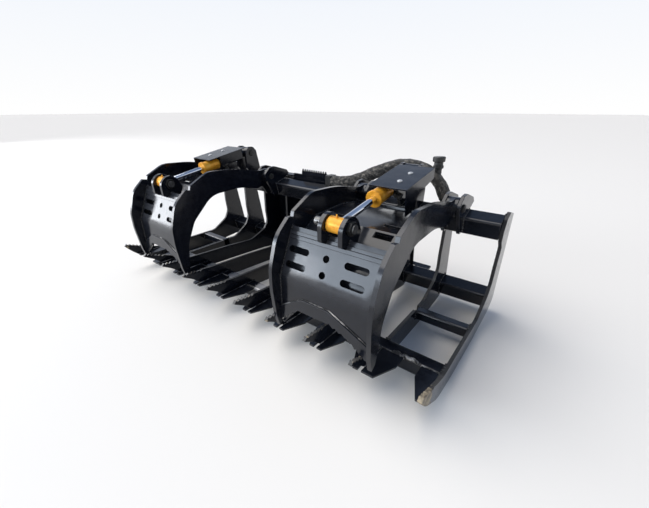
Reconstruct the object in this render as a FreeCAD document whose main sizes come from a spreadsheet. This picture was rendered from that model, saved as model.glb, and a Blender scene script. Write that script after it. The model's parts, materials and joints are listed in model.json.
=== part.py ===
# Root grapple for a compact loader: a ten-tine basket with two clamp lids,
# each swung by its own hydraulic cylinder about hinges on the top tube.
# X runs across the machine, Y points back to the loader, Z is up.  The grapple
# stands on its tines, and the origin is the bottom centre of its box.
import FreeCAD, Part
import math
import os

doc = FreeCAD.newDocument("root_grapple")
sheet = doc.addObject("Spreadsheet::Sheet", "sizes")

# Driving dimensions in millimetres and degrees.  Heights and depths of the
# frame are measured from the top front edge of the top tube.
SIZES = [
    ("frame_width", 1829, "outer width over the end tines, 72 inches"),
    ("tube_tilt", 16.45, "tilt of the top and heel tubes, rising to the rear"),
    ("top_tube_side", 78, "square top tube"),
    ("heel_tube_side", 76, "square heel tube"),
    ("floor_tube_side", 45, "square tube let into the floor of the basket"),
    ("front_tube_side", 60, "square front tube"),
    ("tube_wall", 6, "wall of all the square tubes"),
    ("heel_tube_y", 186, "heel tube centre behind the top tube edge"),
    ("heel_tube_drop", 409, "heel tube centre below the top tube edge"),
    ("floor_tube_back", -93, "back face of the floor tube"),
    ("front_tube_setback", 215, "front of the front tube behind the tine tips"),
    ("floor_drop", 405, "basket floor below the top tube edge"),
    ("tine_depth", 95, "depth of the deep tines below the basket floor"),
    ("tine_plate", 14, "tine plate thickness"),
    ("tine_spacing", 193.2, "spacing of the eight inner tines"),
    ("tine_reach", 661, "tip of the tines in front of the top tube edge"),
    ("tip_drop", 328, "top of the tine tips below the top tube edge"),
    ("tooth_pitch", 19, "pitch of the grip teeth on the tine tips"),
    ("tooth_depth", 9, "depth of the grip teeth"),
    ("tooth_count", 5, "grip teeth on each tine"),
    ("tine_rise", 52, "top of the inner tines over the basket floor"),
    ("wing_plate", 8, "wing plate thickness"),
    ("wing_reach", 152, "reach of the wing plates in front of the front tube"),
    ("wing_width", 60, "width of a wing plate beside its tine"),
    ("wide_wing", 86, "width of the wings beside the two wide bays"),
    ("end_wing", 64, "width of the wings of the end tines"),
    ("wing_taper", 40, "width that a wing loses towards its front edge"),
    ("rear_lean", 10.25, "lean of the tine backs and the attach plate"),
    ("back_depth", 165, "tine backs behind the top tube edge, at the top"),
    ("attach_width", 1000, "quick attach plate and hook width"),
    ("lip_width", 1150, "quick attach bottom lip width"),
    ("attach_height", 445, "quick attach plate height"),
    ("attach_plate", 8, "quick attach plate thickness"),
    ("attach_rise", 22, "top of the quick attach plate over the tube edge"),
    ("hook_reach", 34, "reach of the quick attach hook"),
    ("hook_plate", 12, "hook plate thickness"),
    ("lip_reach", 64, "reach of the quick attach bottom lip"),
    ("lip_plate", 12, "bottom lip thickness"),
    ("lock_slot_long", 76, "length of the lock pin slots"),
    ("lock_slot_wide", 30, "width of the lock pin slots"),
    ("lock_spacing", 921, "distance between the lock pin slots"),
    ("shelf_left", -235, "left end of the standing back plate"),
    ("shelf_right", 270, "right end of the standing back plate"),
    ("shelf_top", 50, "top of the standing back plate"),
    ("shelf_plate", 10, "back plate thickness"),
    ("shelf_y", 100, "depth of the standing back plate"),
    ("step_left", -166, "left end of the serrated step"),
    ("step_length", 176, "serrated step length"),
    ("step_depth", 56, "serrated step depth, front to back"),
    ("step_height", 32, "serrated step height with its teeth"),
    ("step_plate", 5, "serrated step plate thickness"),
    ("step_tooth", 11, "pitch of the step teeth"),
    ("lid_spacing", 1051.6, "distance between the middles of the lids"),
    ("lid_plate_gap", 404.5, "distance between the side plates of a lid"),
    ("lid_plate", 16, "lid side plate thickness"),
    ("hinge_y", -35, "hinge axis depth"),
    ("hinge_z", 45, "hinge axis height over the tube edge"),
    ("hinge_pin_radius", 16, "hinge pin radius"),
    ("hinge_boss_radius", 40, "hinge boss radius"),
    ("hinge_boss_half", 22, "half length of a hinge boss"),
    ("hinge_side_gap", 2, "gap between a hinge boss and its brackets"),
    ("bracket_plate", 14, "hinge bracket thickness"),
    ("running_gap", 0.05, "radial clearance of the running pins and the rod"),
    ("skin_plate", 8, "front, top and mouth plate thickness"),
    ("ear_plate", 17, "rod ear thickness"),
    ("ear_gap", 63, "gap between the rod ears"),
    ("eye_length", 60, "length of the cylinder eyes"),
    ("rod_pin_y", -532, "rod pin depth"),
    ("rod_pin_z", 60, "rod pin height over the tube edge"),
    ("rod_pin_radius", 15, "rod pin radius"),
    ("rod_pin_left", 85, "rod pin length to the left of the cylinder"),
    ("rod_pin_right", 67, "rod pin length to the right of the cylinder"),
    ("pin_nut_radius", 24, "rod pin nut, half across corners"),
    ("pin_nut_length", 13, "rod pin nut thickness"),
    ("base_pin_y", 0, "cylinder base pin depth"),
    ("base_pin_z", 152, "cylinder base pin height over the tube edge"),
    ("base_pin_radius", 15, "base pin radius"),
    ("base_eye_slack", 7, "slack of the base eye round its pin"),
    ("eye_radius", 27, "rod eye radius"),
    ("base_eye_radius", 31, "base eye radius"),
    ("tower_plate", 14, "tower plate thickness"),
    ("rod_radius", 12.5, "rod radius"),
    ("bore_radius", 22, "cylinder bore radius"),
    ("barrel_radius", 27, "barrel radius"),
    ("gland_radius", 29, "gland body radius"),
    ("gland_flange", 32, "gland flange radius"),
    ("gland_start", 223, "front of the gland from the rod pin"),
    ("gland_length", 100, "gland length"),
    ("barrel_end", 505, "closed end of the barrel from the rod pin"),
    ("piston_length", 24, "piston length"),
    ("cap_length", 17, "end cap length"),
    ("guard_plate", 5, "cylinder guard plate thickness"),
    ("guard_rise", 34, "underside of the guard over the cylinder axis"),
    ("guard_inner", 40, "guard edge beside the cylinder, towards the middle"),
    ("guard_outer", 110, "guard edge beside the cylinder, towards the end tine"),
    ("guard_start", 257, "front of the guard from the rod pin"),
    ("guard_length", 246, "guard length along the cylinder"),
    ("slot_length", 90, "length of the slots in the lid front"),
    ("slot_height", 23, "height of the slots in the lid front"),
    ("round_hole", 12.5, "radius of the round holes in the lid front"),
    ("pattern_shift", -20, "slot pattern off the middle of the lid"),
    ("hose_radius", 28, "radius of the sleeved hose bundle"),
    ("coupler_side", 52, "side of the hose coupler block"),
]
for row, (alias, value, note) in enumerate(SIZES, 1):
    sheet.set(f"A{row}", str(value))
    sheet.setAlias(f"A{row}", alias)
    sheet.set(f"B{row}", note)
doc.recompute()


def size(alias):
    return float(getattr(sheet, alias))


# Places that follow from the sizes.
LEAN = math.radians(size("rear_lean"))
TILT = math.radians(size("tube_tilt"))
attach_bottom = size("attach_rise") - size("attach_height") * math.cos(LEAN)
rear_end = (size("back_depth") + (8 - attach_bottom) * math.tan(LEAN)
            + size("attach_plate") / math.cos(LEAN) + size("lip_reach") * math.cos(LEAN))
SHIFT_Y = (size("tine_reach") - rear_end) / 2
SHIFT_Z = size("floor_drop") + size("tine_depth")


def at(y, z):
    """A point of an outline, from the tube edge to the grapple's own frame."""
    return FreeCAD.Vector(y + SHIFT_Y, z + SHIFT_Z, 0)


def corner_edges(points):
    """Straight edges with tangent arcs at the points that carry a radius."""
    flat = [FreeCAD.Vector(p[0], p[1], 0) for p in points]
    radii = [p[2] if len(p) > 2 else 0 for p in points]
    count = len(points)
    stops = []
    for i in range(count):
        here = flat[i]
        if radii[i] == 0:
            stops.append((here, None, here))
            continue
        back = (flat[i - 1] - here)
        ahead = (flat[(i + 1) % count] - here)
        back.normalize()
        ahead.normalize()
        half = back.getAngle(ahead) / 2
        reach = radii[i] / math.tan(half)
        middle = back + ahead
        middle.normalize()
        top = here + middle * (radii[i] / math.sin(half) - radii[i])
        stops.append((here + back * reach, top, here + ahead * reach))
    edges = []
    for i in range(count):
        start, top, end = stops[i]
        if top is not None:
            edges.append(Part.Arc(start, top, end))
        following = stops[(i + 1) % count][0]
        if (following - end).Length > 1e-6:
            edges.append(Part.LineSegment(end, following))
    return edges


def seat(body, plane_role, sketch):
    plane = [f for f in body.Origin.OriginFeatures if f.Role == plane_role][0]
    sketch.AttachmentSupport = [(plane, "")]
    sketch.MapMode = "FlatFace"


def side_plate(label, outline, holes, thickness, start):
    """A plate cut to an outline seen from the side and set at a place along X.
    Holes are outlines too, or (y, z, radius) circles."""
    body = doc.addObject("PartDesign::Body", label)
    body.Label = label
    sketch = body.newObject("Sketcher::SketchObject", label + "_outline")
    seat(body, "YZ_Plane", sketch)
    shifted = [(at(p[0], p[1]).x, at(p[0], p[1]).y) + tuple(p[2:]) for p in outline]
    geometry = corner_edges(shifted)
    for hole in holes:
        if isinstance(hole, tuple):
            centre = at(hole[0], hole[1])
            geometry.append(Part.Circle(centre, FreeCAD.Vector(0, 0, 1), hole[2]))
        else:
            moved = [(at(p[0], p[1]).x, at(p[0], p[1]).y) + tuple(p[2:]) for p in hole]
            geometry += corner_edges(moved)
    sketch.addGeometry(geometry, False)
    pad = body.newObject("PartDesign::Pad", label + "_pad")
    pad.Profile = sketch
    pad.setExpression("Length", thickness)
    body.Placement = FreeCAD.Placement()
    body.setExpression(".Placement.Base.x", start)
    return body


def cross_tube(label, side, corner_y, corner_z, turn, length):
    """A square tube along X; the corner is its bottom front edge."""
    outer = doc.addObject("Part::Box", label + "_outside")
    inner = doc.addObject("Part::Box", label + "_inside")
    outer.setExpression("Length", length)
    outer.setExpression("Width", side)
    outer.setExpression("Height", side)
    inner.setExpression("Length", length)
    inner.setExpression("Width", f"{side} - 2 * sizes.tube_wall")
    inner.setExpression("Height", f"{side} - 2 * sizes.tube_wall")
    doc.recompute()
    place = at(corner_y, corner_z)
    spin = FreeCAD.Rotation(FreeCAD.Vector(1, 0, 0), turn)
    wall = size("tube_wall")
    offset = spin.multVec(FreeCAD.Vector(0, wall, wall))
    base = FreeCAD.Vector(-outer.Length.Value / 2, place.x, place.y)
    outer.Placement = FreeCAD.Placement(base, spin)
    inner.Placement = FreeCAD.Placement(base + offset, spin)
    tube = doc.addObject("Part::Cut", label)
    tube.Base = outer
    tube.Tool = inner
    tube.Label = label
    return tube


def shaped(label, shape):
    """A piece whose shape comes from Part's own functions."""
    piece = doc.addObject("Part::Feature", label)
    piece.Label = label
    piece.Shape = shape.removeSplitter()
    return piece


def spot(x, y, z):
    place = at(y, z)
    return FreeCAD.Vector(x, place.x, place.y)


def bar(x0, x1, y0, y1, z0, z1):
    """A square-edged block between two corners."""
    return Part.makeBox(x1 - x0, y1 - y0, z1 - z0, spot(x0, y0, z0))


def round_bar(radius, x0, x1, y, z):
    """A round bar along X."""
    return Part.makeCylinder(radius, x1 - x0, spot(x0, y, z), FreeCAD.Vector(1, 0, 0))


def strip(points, x0, x1):
    """A solid along X from an outline seen from the side."""
    edges = []
    for edge in corner_edges(points):
        edges.append(edge.toShape())
    wire = Part.Wire(Part.__sortEdges__(edges))
    face = Part.Face(wire)
    face.rotate(FreeCAD.Vector(), FreeCAD.Vector(1, 1, 1), 120)
    place = at(0, 0)
    face.translate(FreeCAD.Vector(x0, place.x, place.y))
    return face.extrude(FreeCAD.Vector(x1 - x0, 0, 0))


PIECES = []

# Frame tubes
half_width = size("frame_width") / 2
inner_end = "sizes.frame_width - 2 * sizes.tine_plate"
top_side = size("top_tube_side")
top_tube = cross_tube("top_tube", "sizes.top_tube_side",
                      top_side * math.sin(TILT), -top_side * math.cos(TILT),
                      size("tube_tilt"), inner_end)
PIECES.append(top_tube)

# Plugs welded flush into the two ends of the top tube
wall = size("tube_wall")
plug_side = top_side - 2 * wall
plugs = []
for plug_x in (size("tine_plate") - half_width, half_width - size("tine_plate") - wall):
    plug = Part.makeBox(wall, plug_side, plug_side, FreeCAD.Vector(0, wall, wall))
    plug.Placement = FreeCAD.Placement(FreeCAD.Vector(plug_x, 0, 0) + spot(
        0, top_side * math.sin(TILT), -top_side * math.cos(TILT)),
        FreeCAD.Rotation(FreeCAD.Vector(1, 0, 0), size("tube_tilt"))).multiply(plug.Placement)
    plugs.append(plug)
PIECES.append(shaped("tube_end_plugs", Part.makeCompound(plugs)))

heel_side = size("heel_tube_side")
heel_half = heel_side / 2
heel_corner_y = size("heel_tube_y") - heel_half * math.cos(TILT) + heel_half * math.sin(TILT)
heel_corner_z = -size("heel_tube_drop") - heel_half * math.sin(TILT) - heel_half * math.cos(TILT)
PIECES.append(cross_tube("heel_tube", "sizes.heel_tube_side", heel_corner_y, heel_corner_z,
                         size("tube_tilt"), inner_end))

# The floor tubes only join the two outer tines on each side
floor = -size("floor_drop")
floor_side = size("floor_tube_side")
floor_front = size("floor_tube_back") - floor_side
end_bay = "sizes.frame_width / 2 - 3.5 * sizes.tine_spacing - 1.5 * sizes.tine_plate"
for side_name, bay_side in (("left", -1), ("right", 1)):
    floor_tube = cross_tube(f"floor_tube_{side_name}", "sizes.floor_tube_side", floor_front,
                            floor - floor_side, 0, end_bay)
    bay_middle = (half_width - size("tine_plate") / 2 + 3.5 * size("tine_spacing")) / 2
    for half in (floor_tube.Base, floor_tube.Tool):
        half.Placement.move(FreeCAD.Vector(bay_side * bay_middle, 0, 0))
    PIECES.append(floor_tube)

front_side = size("front_tube_side")
front_front = size("front_tube_setback") - size("tine_reach")
PIECES.append(cross_tube("front_tube", "sizes.front_tube_side", front_front,
                         floor - front_side, 0, inner_end))


# Tines
def heel_corner(along, down):
    """A corner of the heel tube, from its bottom front edge."""
    y = heel_corner_y + along * math.cos(TILT) + down * math.sin(TILT)
    z = heel_corner_z + along * math.sin(TILT) - down * math.cos(TILT)
    return (y, z)


heel_hole = [heel_corner(0, 0), heel_corner(heel_side, 0),
             heel_corner(heel_side, -heel_side), heel_corner(0, -heel_side)]
tine_top = 8
back_face_run = (top_side * math.sin(TILT) - tine_top) / math.cos(TILT)
tube_back_top = (top_side * math.cos(TILT) + back_face_run * math.sin(TILT), tine_top)
tube_back_bottom = (top_side * (math.cos(TILT) + math.sin(TILT)),
                    top_side * (math.sin(TILT) - math.cos(TILT)))
front_edge = 83


def tube_underside(y):
    return -top_side * math.cos(TILT) + (y - top_side * math.sin(TILT)) * math.tan(TILT)


def rear_line(z):
    return size("back_depth") + (8 - z) * math.tan(LEAN)


tip_y = 13 - size("tine_reach")
tip_z = -size("tip_drop")
tip_bottom = (-size("tine_reach"), tip_z - 13)
ground = -SHIFT_Z
ramp_y = front_front - 49
ramp_z = floor + 15
front_back = front_front + front_side
wing_low = floor - size("wing_plate")
heel_end = [(rear_line(ground + 60), ground + 60, 20), (170, ground + 20, 40)]
shallow_tip = [(tip_y + 82, wing_low, 20), (tip_y + 36, tip_z - 43, 60), tip_bottom,
               (tip_y, tip_z)]
rise_to_tube = [(front_edge, -215, 80), (front_edge, tube_underside(front_edge)),
                tube_back_bottom]


def tooth_row(end_y, end_z):
    """Saw teeth down the slope behind the tip, steep side towards the basket."""
    slope = (end_z - tip_z) / (end_y - tip_y)
    points = []
    start = tip_y + 6
    for tooth in range(int(size("tooth_count"))):
        root = start + tooth * size("tooth_pitch")
        crest = root + 0.7 * size("tooth_pitch")
        points.append((root, tip_z + slope * (root - tip_y) - size("tooth_depth")))
        points.append((crest, tip_z + slope * (crest - tip_y)))
    return points


# The six middle tines lie across the front tube, clear of the ground
ridge = floor + size("tine_rise")
middle_outline = ([tube_back_top, (size("back_depth"), tine_top, 8)] + heel_end
                  + [(40, ground + 38, 60), (front_back + 55, floor - 34, 200),
                     (front_back, floor - 29), (front_back, floor),
                     (front_front, floor), (front_front, wing_low)]
                  + shallow_tip + tooth_row(front_front - 54, ridge + 8)
                  + [(front_front - 54, ridge + 8, 60), (-250, ridge - 6, 300),
                     (-60, ridge - 22, 120), (52, floor + 70, 70), (front_edge + 8, -290, 60)]
                  + rise_to_tube)

# The second tines from each end are deep, with the front and floor tubes let in
deep_outline = ([tube_back_top, (size("back_depth"), tine_top, 8)] + heel_end
                + [(-60, ground, 400), (front_back + 56, ground, 200),
                   (front_front + 6, ground + 6, 40), (front_front - 24, ground + 38, 20),
                   (front_front - 26, wing_low, 8)]
                + shallow_tip + tooth_row(ramp_y, ramp_z)
                + [(ramp_y, ramp_z, 60), (front_front, floor), (front_front, floor - front_side),
                   (front_back, floor - front_side), (front_back, floor),
                   (floor_front, floor), (floor_front, floor - floor_side),
                   (size("floor_tube_back"), floor - floor_side),
                   (size("floor_tube_back"), floor), (-45, floor, 60), (60, floor + 60, 70),
                   (front_edge + 8, -290, 60)]
                + rise_to_tube)

# The end tines close the tubes off
end_outline = ([(42, 10, 12), (84, 30, 14), (size("back_depth"), tine_top, 8)] + heel_end
               + [(-60, ground, 400), (front_back + 56, ground, 300),
                  (front_front - 34, ground + 16, 160), (tip_y + 34, tip_z - 73, 300),
                  tip_bottom, (tip_y, tip_z)]
               + tooth_row(ramp_y, ramp_z)
               + [(ramp_y, ramp_z, 60), (front_front, floor, 60), (-45, floor, 60),
                  (60, floor + 60, 70), (front_edge + 8, -290, 60), (front_edge, -215, 80),
                  (front_edge, -118, 30), (42, -82, 20), (32, -42, 20)])

tine_half = size("tine_plate") / 2
end_x = half_width - tine_half
inner_x = [(index - 3.5) * size("tine_spacing") for index in range(8)]
tine_x = [-end_x] + inner_x + [end_x]
for index in range(10):
    label = f"tine_{index + 1}"
    if index == 0:
        start = "-sizes.frame_width / 2"
    elif index == 9:
        start = "sizes.frame_width / 2 - sizes.tine_plate"
    else:
        start = f"({index} - 4.5) * sizes.tine_spacing - sizes.tine_plate / 2"
    if index in (0, 9):
        PIECES.append(side_plate(label, end_outline, [], "sizes.tine_plate", start))
    else:
        outline = deep_outline if index in (1, 8) else middle_outline
        PIECES.append(side_plate(label, outline, [heel_hole], "sizes.tine_plate", start))


# Wing plates beside the tine tips, welded to the front tube
def wing(x_face, side, width):
    """A flat plate with a blunt front edge, level with the tube's top."""
    nose_y = front_front - size("wing_reach")
    full_y = front_front - 0.4 * size("wing_reach")
    plan = [spot(x_face, nose_y, wing_low),
            spot(x_face + side * (width - size("wing_taper")), nose_y, wing_low),
            spot(x_face + side * width, full_y, wing_low),
            spot(x_face + side * width, front_front, wing_low),
            spot(x_face, front_front, wing_low)]
    plan.append(plan[0])
    face = Part.Face(Part.makePolygon(plan))
    return face.extrude(FreeCAD.Vector(0, 0, size("wing_plate")))


def wing_width(index, side):
    if index in (0, 9):
        return size("end_wing")
    if (index, side) in ((1, -1), (8, 1)):
        return size("wide_wing")
    return size("wing_width")


for side_name, members in (("left", range(0, 5)), ("right", range(5, 10))):
    wings = []
    for index in members:
        for side in (-1, 1):
            outward = (index == 0 and side == -1) or (index == 9 and side == 1)
            if outward:
                continue
            x_face = tine_x[index] + side * tine_half
            wings.append(wing(x_face, side, wing_width(index, side)))
    PIECES.append(shaped(f"wings_{side_name}", Part.makeCompound(wings)))


# Quick attach behind the tines
def lean_point(along, back):
    """A point from the plate's top front edge, down the plate and behind it."""
    top = size("attach_rise")
    y = rear_line(top) + along * math.sin(LEAN) + back * math.cos(LEAN)
    z = top - along * math.cos(LEAN) + back * math.sin(LEAN)
    return (y, z)


attach_plate = size("attach_plate")
attach_height = size("attach_height")
half_attach = size("attach_width") / 2
half_lip = size("lip_width") / 2
hook = size("hook_plate")
lip = size("lip_plate")
back_sheet = strip([lean_point(hook, 0), lean_point(attach_height - lip, 0),
                    lean_point(attach_height - lip, attach_plate),
                    lean_point(hook, attach_plate)],
                   -half_attach, half_attach)
PIECES.append(shaped("quick_attach_plate", back_sheet))

reach = size("hook_reach")
hook_shape = strip([lean_point(0, 0), lean_point(hook, 0),
                    lean_point(hook, attach_plate),
                    lean_point(hook - 2, attach_plate + reach - hook),
                    lean_point(reach, attach_plate + reach + 4),
                    lean_point(reach - 14, attach_plate + reach + 4),
                    lean_point(2, attach_plate + reach - hook + 6)],
                   -half_attach, half_attach)
PIECES.append(shaped("quick_attach_hook", hook_shape))

lip_shape = strip([lean_point(attach_height - lip, 0), lean_point(attach_height, 0),
                   lean_point(attach_height, attach_plate + size("lip_reach")),
                   lean_point(attach_height - lip, attach_plate + size("lip_reach"))],
                  -half_lip, half_lip)
slot_back = attach_plate + size("lip_reach") / 2
for side in (-1, 1):
    slot = Part.makeBox(size("lock_slot_long") - size("lock_slot_wide"),
                        size("lock_slot_wide"), 60)
    slot_x = side * size("lock_spacing") / 2
    half_run = (size("lock_slot_long") - size("lock_slot_wide")) / 2
    y, z = lean_point(attach_height, slot_back)
    centre = spot(slot_x, y, z)
    slot.translate(FreeCAD.Vector(-half_run, -size("lock_slot_wide") / 2, -30))
    for end in (-1, 1):
        slot = slot.fuse(Part.makeCylinder(size("lock_slot_wide") / 2, 60,
                                           FreeCAD.Vector(end * half_run, 0, -30)))
    slot.rotate(FreeCAD.Vector(), FreeCAD.Vector(1, 0, 0), math.degrees(LEAN))
    slot.translate(centre)
    lip_shape = lip_shape.cut(slot)
PIECES.append(shaped("quick_attach_lip", lip_shape))

# Standing back plate with the serrated step on it
shelf_y = size("shelf_y")
shelf_plate = size("shelf_plate")
shelf_foot = tube_back_top[1]
shelf = strip([(shelf_y, shelf_foot), (shelf_y + shelf_plate, shelf_foot),
               (shelf_y + shelf_plate, size("shelf_top")), (shelf_y, size("shelf_top"))],
              size("shelf_left"), size("shelf_right"))
PIECES.append(shaped("back_plate", shelf))

step_plate = size("step_plate")
step_left = size("step_left")
step_right = step_left + size("step_length")
step_base = size("shelf_top")
step_top = step_base + size("step_height")
step_front = shelf_y - 8
step_back = step_front + size("step_depth")
tread = bar(step_left, step_right, step_front, step_back, step_base, step_base + step_plate)
for wall_y in (step_front, step_back - step_plate):
    teeth = [spot(step_left, wall_y, step_base), spot(step_right, wall_y, step_base)]
    count = int(size("step_length") / size("step_tooth"))
    for tooth in range(count, 0, -1):
        teeth.append(spot(step_left + tooth * size("step_tooth"), wall_y, step_top))
        teeth.append(spot(step_left + (tooth - 0.5) * size("step_tooth"), wall_y, step_top - 7))
    teeth.append(spot(step_left, wall_y, step_top))
    teeth.append(teeth[0])
    wall = Part.Face(Part.makePolygon(teeth)).extrude(FreeCAD.Vector(0, step_plate, 0))
    tread = tread.fuse(wall)
PIECES.append(shaped("serrated_step", tread))

# Hinge brackets, two about each lid side plate, and their pins
hinge_y = size("hinge_y")
hinge_z = size("hinge_z")
pin_radius = size("hinge_pin_radius")
boss_half = size("hinge_boss_half")
bracket_gap = boss_half + size("hinge_side_gap")
bracket_plate = size("bracket_plate")


def tube_top(y):
    return y * math.tan(TILT)


lobe_drop = 64
bracket_outline = [(0, 0), (66, tube_top(66)), (114, 44), (93, 66, 20), (-5, 96, 24),
                   (-42, 93), (-88, 55, 24), (-58, 4), (-14, -lobe_drop - 4, 10),
                   (lobe_drop * math.tan(TILT), -lobe_drop)]


def lid_plate_places(middle):
    half = size("lid_plate_gap") / 2
    return (middle - half, middle + half)


lid_middles = (-size("lid_spacing") / 2, size("lid_spacing") / 2)
brackets = []
pins = []
for middle in lid_middles:
    for plate_x in lid_plate_places(middle):
        for inner_face in (plate_x - bracket_gap - bracket_plate, plate_x + bracket_gap):
            plate = strip(bracket_outline, inner_face, inner_face + bracket_plate)
            hole = round_bar(pin_radius, inner_face, inner_face + bracket_plate,
                             hinge_y, hinge_z)
            brackets.append(plate.cut(hole))
        pin_start = plate_x - bracket_gap - bracket_plate - 4
        pin_end = plate_x + bracket_gap + bracket_plate + 4
        pins.append(round_bar(pin_radius, pin_start, pin_end, hinge_y, hinge_z))
PIECES.append(shaped("hinge_brackets", Part.makeCompound(brackets)))
PIECES.append(shaped("hinge_pins", Part.makeCompound(pins)))

# Towers that hold the cylinder bases, and their pins
base_y = size("base_pin_y")
base_z = size("base_pin_z")
base_pin = size("base_pin_radius")
eye_half = size("eye_length") / 2
tower_inner = size("ear_gap") / 2 + 1.5
tower_plate = size("tower_plate")
foot_front = 4
tower_outline = [(foot_front, tube_top(foot_front)), (58, tube_top(58)), (60, 70),
                 (38, 165), (14, 187, 26), (-22, 187, 26), (-42, 152, 30), (-40, 70)]
towers = []
base_pins = []
for middle in lid_middles:
    for inner_face in (middle - tower_inner - tower_plate, middle + tower_inner):
        plate = strip(tower_outline, inner_face, inner_face + tower_plate)
        hole = round_bar(base_pin, inner_face, inner_face + tower_plate, base_y, base_z)
        towers.append(plate.cut(hole))
    base_pins.append(round_bar(base_pin, middle - tower_inner - tower_plate - 6,
                               middle + tower_inner + tower_plate + 6, base_y, base_z))
PIECES.append(shaped("cylinder_towers", Part.makeCompound(towers)))
PIECES.append(shaped("base_pins", Part.makeCompound(base_pins)))

# Lids
boss_radius = size("hinge_boss_radius")
lid_outline = [
    (-94, 79, 60), (-265, 112, 700), (-420, 118, 110), (-521, 68, 6), (-527, 49),
    (-549, 54, 10), (-612, 0, 120), (-648, -110, 120), (-650, -190, 300), (-636, -315),
    (-624, -360), (-604, -345), (-597, -320, 60), (-580, -200, 120), (-530, -100, 90),
    (-415, 5, 130), (-235, 13, 300), (-120, -14, 60), (hinge_y, hinge_z - boss_radius),
    (hinge_y + boss_radius, hinge_z), (hinge_y, hinge_z + boss_radius)]


def lid_side(label, plate_x):
    plate = strip(lid_outline, plate_x - size("lid_plate") / 2, plate_x + size("lid_plate") / 2)
    boss = round_bar(boss_radius, plate_x - boss_half, plate_x + boss_half, hinge_y, hinge_z)
    bore = round_bar(pin_radius + size("running_gap"), plate_x - boss_half,
                     plate_x + boss_half, hinge_y, hinge_z)
    return shaped(label, plate.fuse(boss).cut(bore))


def offset_profile(points, thickness):
    """A bent sheet: the outer line and the same line one thickness inside."""
    inner = []
    for i, point in enumerate(points):
        before = points[max(i - 1, 0)]
        after = points[min(i + 1, len(points) - 1)]
        run_y = after[0] - before[0]
        run_z = after[1] - before[1]
        length = math.hypot(run_y, run_z)
        inner.append((point[0] - run_z / length * thickness,
                      point[1] + run_y / length * thickness))
    return list(points) + inner[::-1]


skin = size("skin_plate")
bend_top = (-538, 7)
bend_low = (-607, -148)
front_line = [(-532, 20), bend_top, bend_low, (bend_low[0], -352)]
lean_front = math.atan2(bend_top[0] - bend_low[0], bend_top[1] - bend_low[1])


def mouth_cutter(middle, grow, y0, y1):
    """The arch under the front plate, seen from the front."""
    left = middle - size("lid_plate_gap") / 2
    right = middle + size("lid_plate_gap") / 2
    centre = middle + size("pattern_shift")
    points = [(left - 30, -420), (left + 22, -352 - grow), (centre - 84, -264 - grow),
              (centre + 42, -264 - grow), (centre + 118, -288 - grow),
              (centre + 206, -362 - grow), (right + 30, -420)]
    corners = [spot(x, y0, z) for x, z in points]
    corners.append(corners[0])
    return Part.Face(Part.makePolygon(corners)).extrude(FreeCAD.Vector(0, y1 - y0, 0))


def front_plate(label, middle):
    half = size("lid_plate_gap") / 2 - size("lid_plate") / 2
    sheet_shape = strip(offset_profile(front_line, skin), middle - half, middle + half)
    centre = middle + size("pattern_shift")
    for row in (65, 121):
        row_y = bend_top[0] - row * math.sin(lean_front)
        row_z = bend_top[1] - row * math.cos(lean_front)
        for column in (-118, 118):
            run = size("slot_length") - size("slot_height")
            slot = Part.makeBox(run, 60, size("slot_height"),
                                FreeCAD.Vector(-run / 2, -30, -size("slot_height") / 2))
            for end in (-1, 1):
                slot = slot.fuse(Part.makeCylinder(size("slot_height") / 2, 60,
                                                   FreeCAD.Vector(end * run / 2, -30, 0),
                                                   FreeCAD.Vector(0, 1, 0)))
            slot.rotate(FreeCAD.Vector(), FreeCAD.Vector(1, 0, 0), -math.degrees(lean_front))
            slot.translate(spot(centre + column, row_y, row_z))
            sheet_shape = sheet_shape.cut(slot)
        hole = Part.makeCylinder(size("round_hole"), 60, FreeCAD.Vector(0, -30, 0),
                                 FreeCAD.Vector(0, 1, 0))
        hole.rotate(FreeCAD.Vector(), FreeCAD.Vector(1, 0, 0), -math.degrees(lean_front))
        hole.translate(spot(centre, row_y, row_z))
        sheet_shape = sheet_shape.cut(hole)
    cutter = mouth_cutter(middle, -8, -660, -560)
    return shaped(label, sheet_shape.cut(cutter))


def mouth_plate(label, middle):
    """The arched edge plate on the front of the lid, its lower edge toothed."""
    half = size("lid_plate_gap") / 2 - size("lid_plate") / 2
    left = middle - half
    right = middle + half
    centre = middle + size("pattern_shift")
    top = [(left, -276), (centre - 70, -213), (centre + 48, -214), (right, -290)]
    low = [(right, -352), (centre + 118, -288), (centre + 42, -264), (centre - 84, -264),
           (left, -340)]
    points = list(top) + [low[0]]
    for start, end in zip(low, low[1:]):
        run = math.hypot(end[0] - start[0], end[1] - start[1])
        steep = abs(end[1] - start[1]) > 0.3 * abs(end[0] - start[0])
        count = max(int(run / 22), 1) if steep else 0
        for tooth in range(1, count + 1):
            part = (tooth - 0.35) / count
            x = start[0] + (end[0] - start[0]) * part
            z = start[1] + (end[1] - start[1]) * part
            points.append((x, z + 7))
            part = tooth / count
            points.append((start[0] + (end[0] - start[0]) * part,
                           start[1] + (end[1] - start[1]) * part))
        if count == 0:
            points.append(end)
    corners = [spot(x, bend_low[0] - skin, z) for x, z in points]
    corners.append(corners[0])
    face = Part.Face(Part.makePolygon(corners))
    return shaped(label, face.extrude(FreeCAD.Vector(0, skin, 0)))


def top_plate(label, middle):
    half = size("lid_plate_gap") / 2 - size("lid_plate") / 2
    line = [(-118, 10), (-235, 24), (-400, 17), (-500, -44), (-552, -125), (-584, -205)]
    sheet_shape = strip(offset_profile(line[::-1], skin), middle - half, middle + half)
    for offset in (-105, 105):
        for slot_y in (-350, -420):
            slot = bar(middle + offset - 34, middle + offset + 34, slot_y - 11, slot_y + 11,
                       -60, 60)
            sheet_shape = sheet_shape.cut(slot)
    return shaped(label, sheet_shape)


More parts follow.
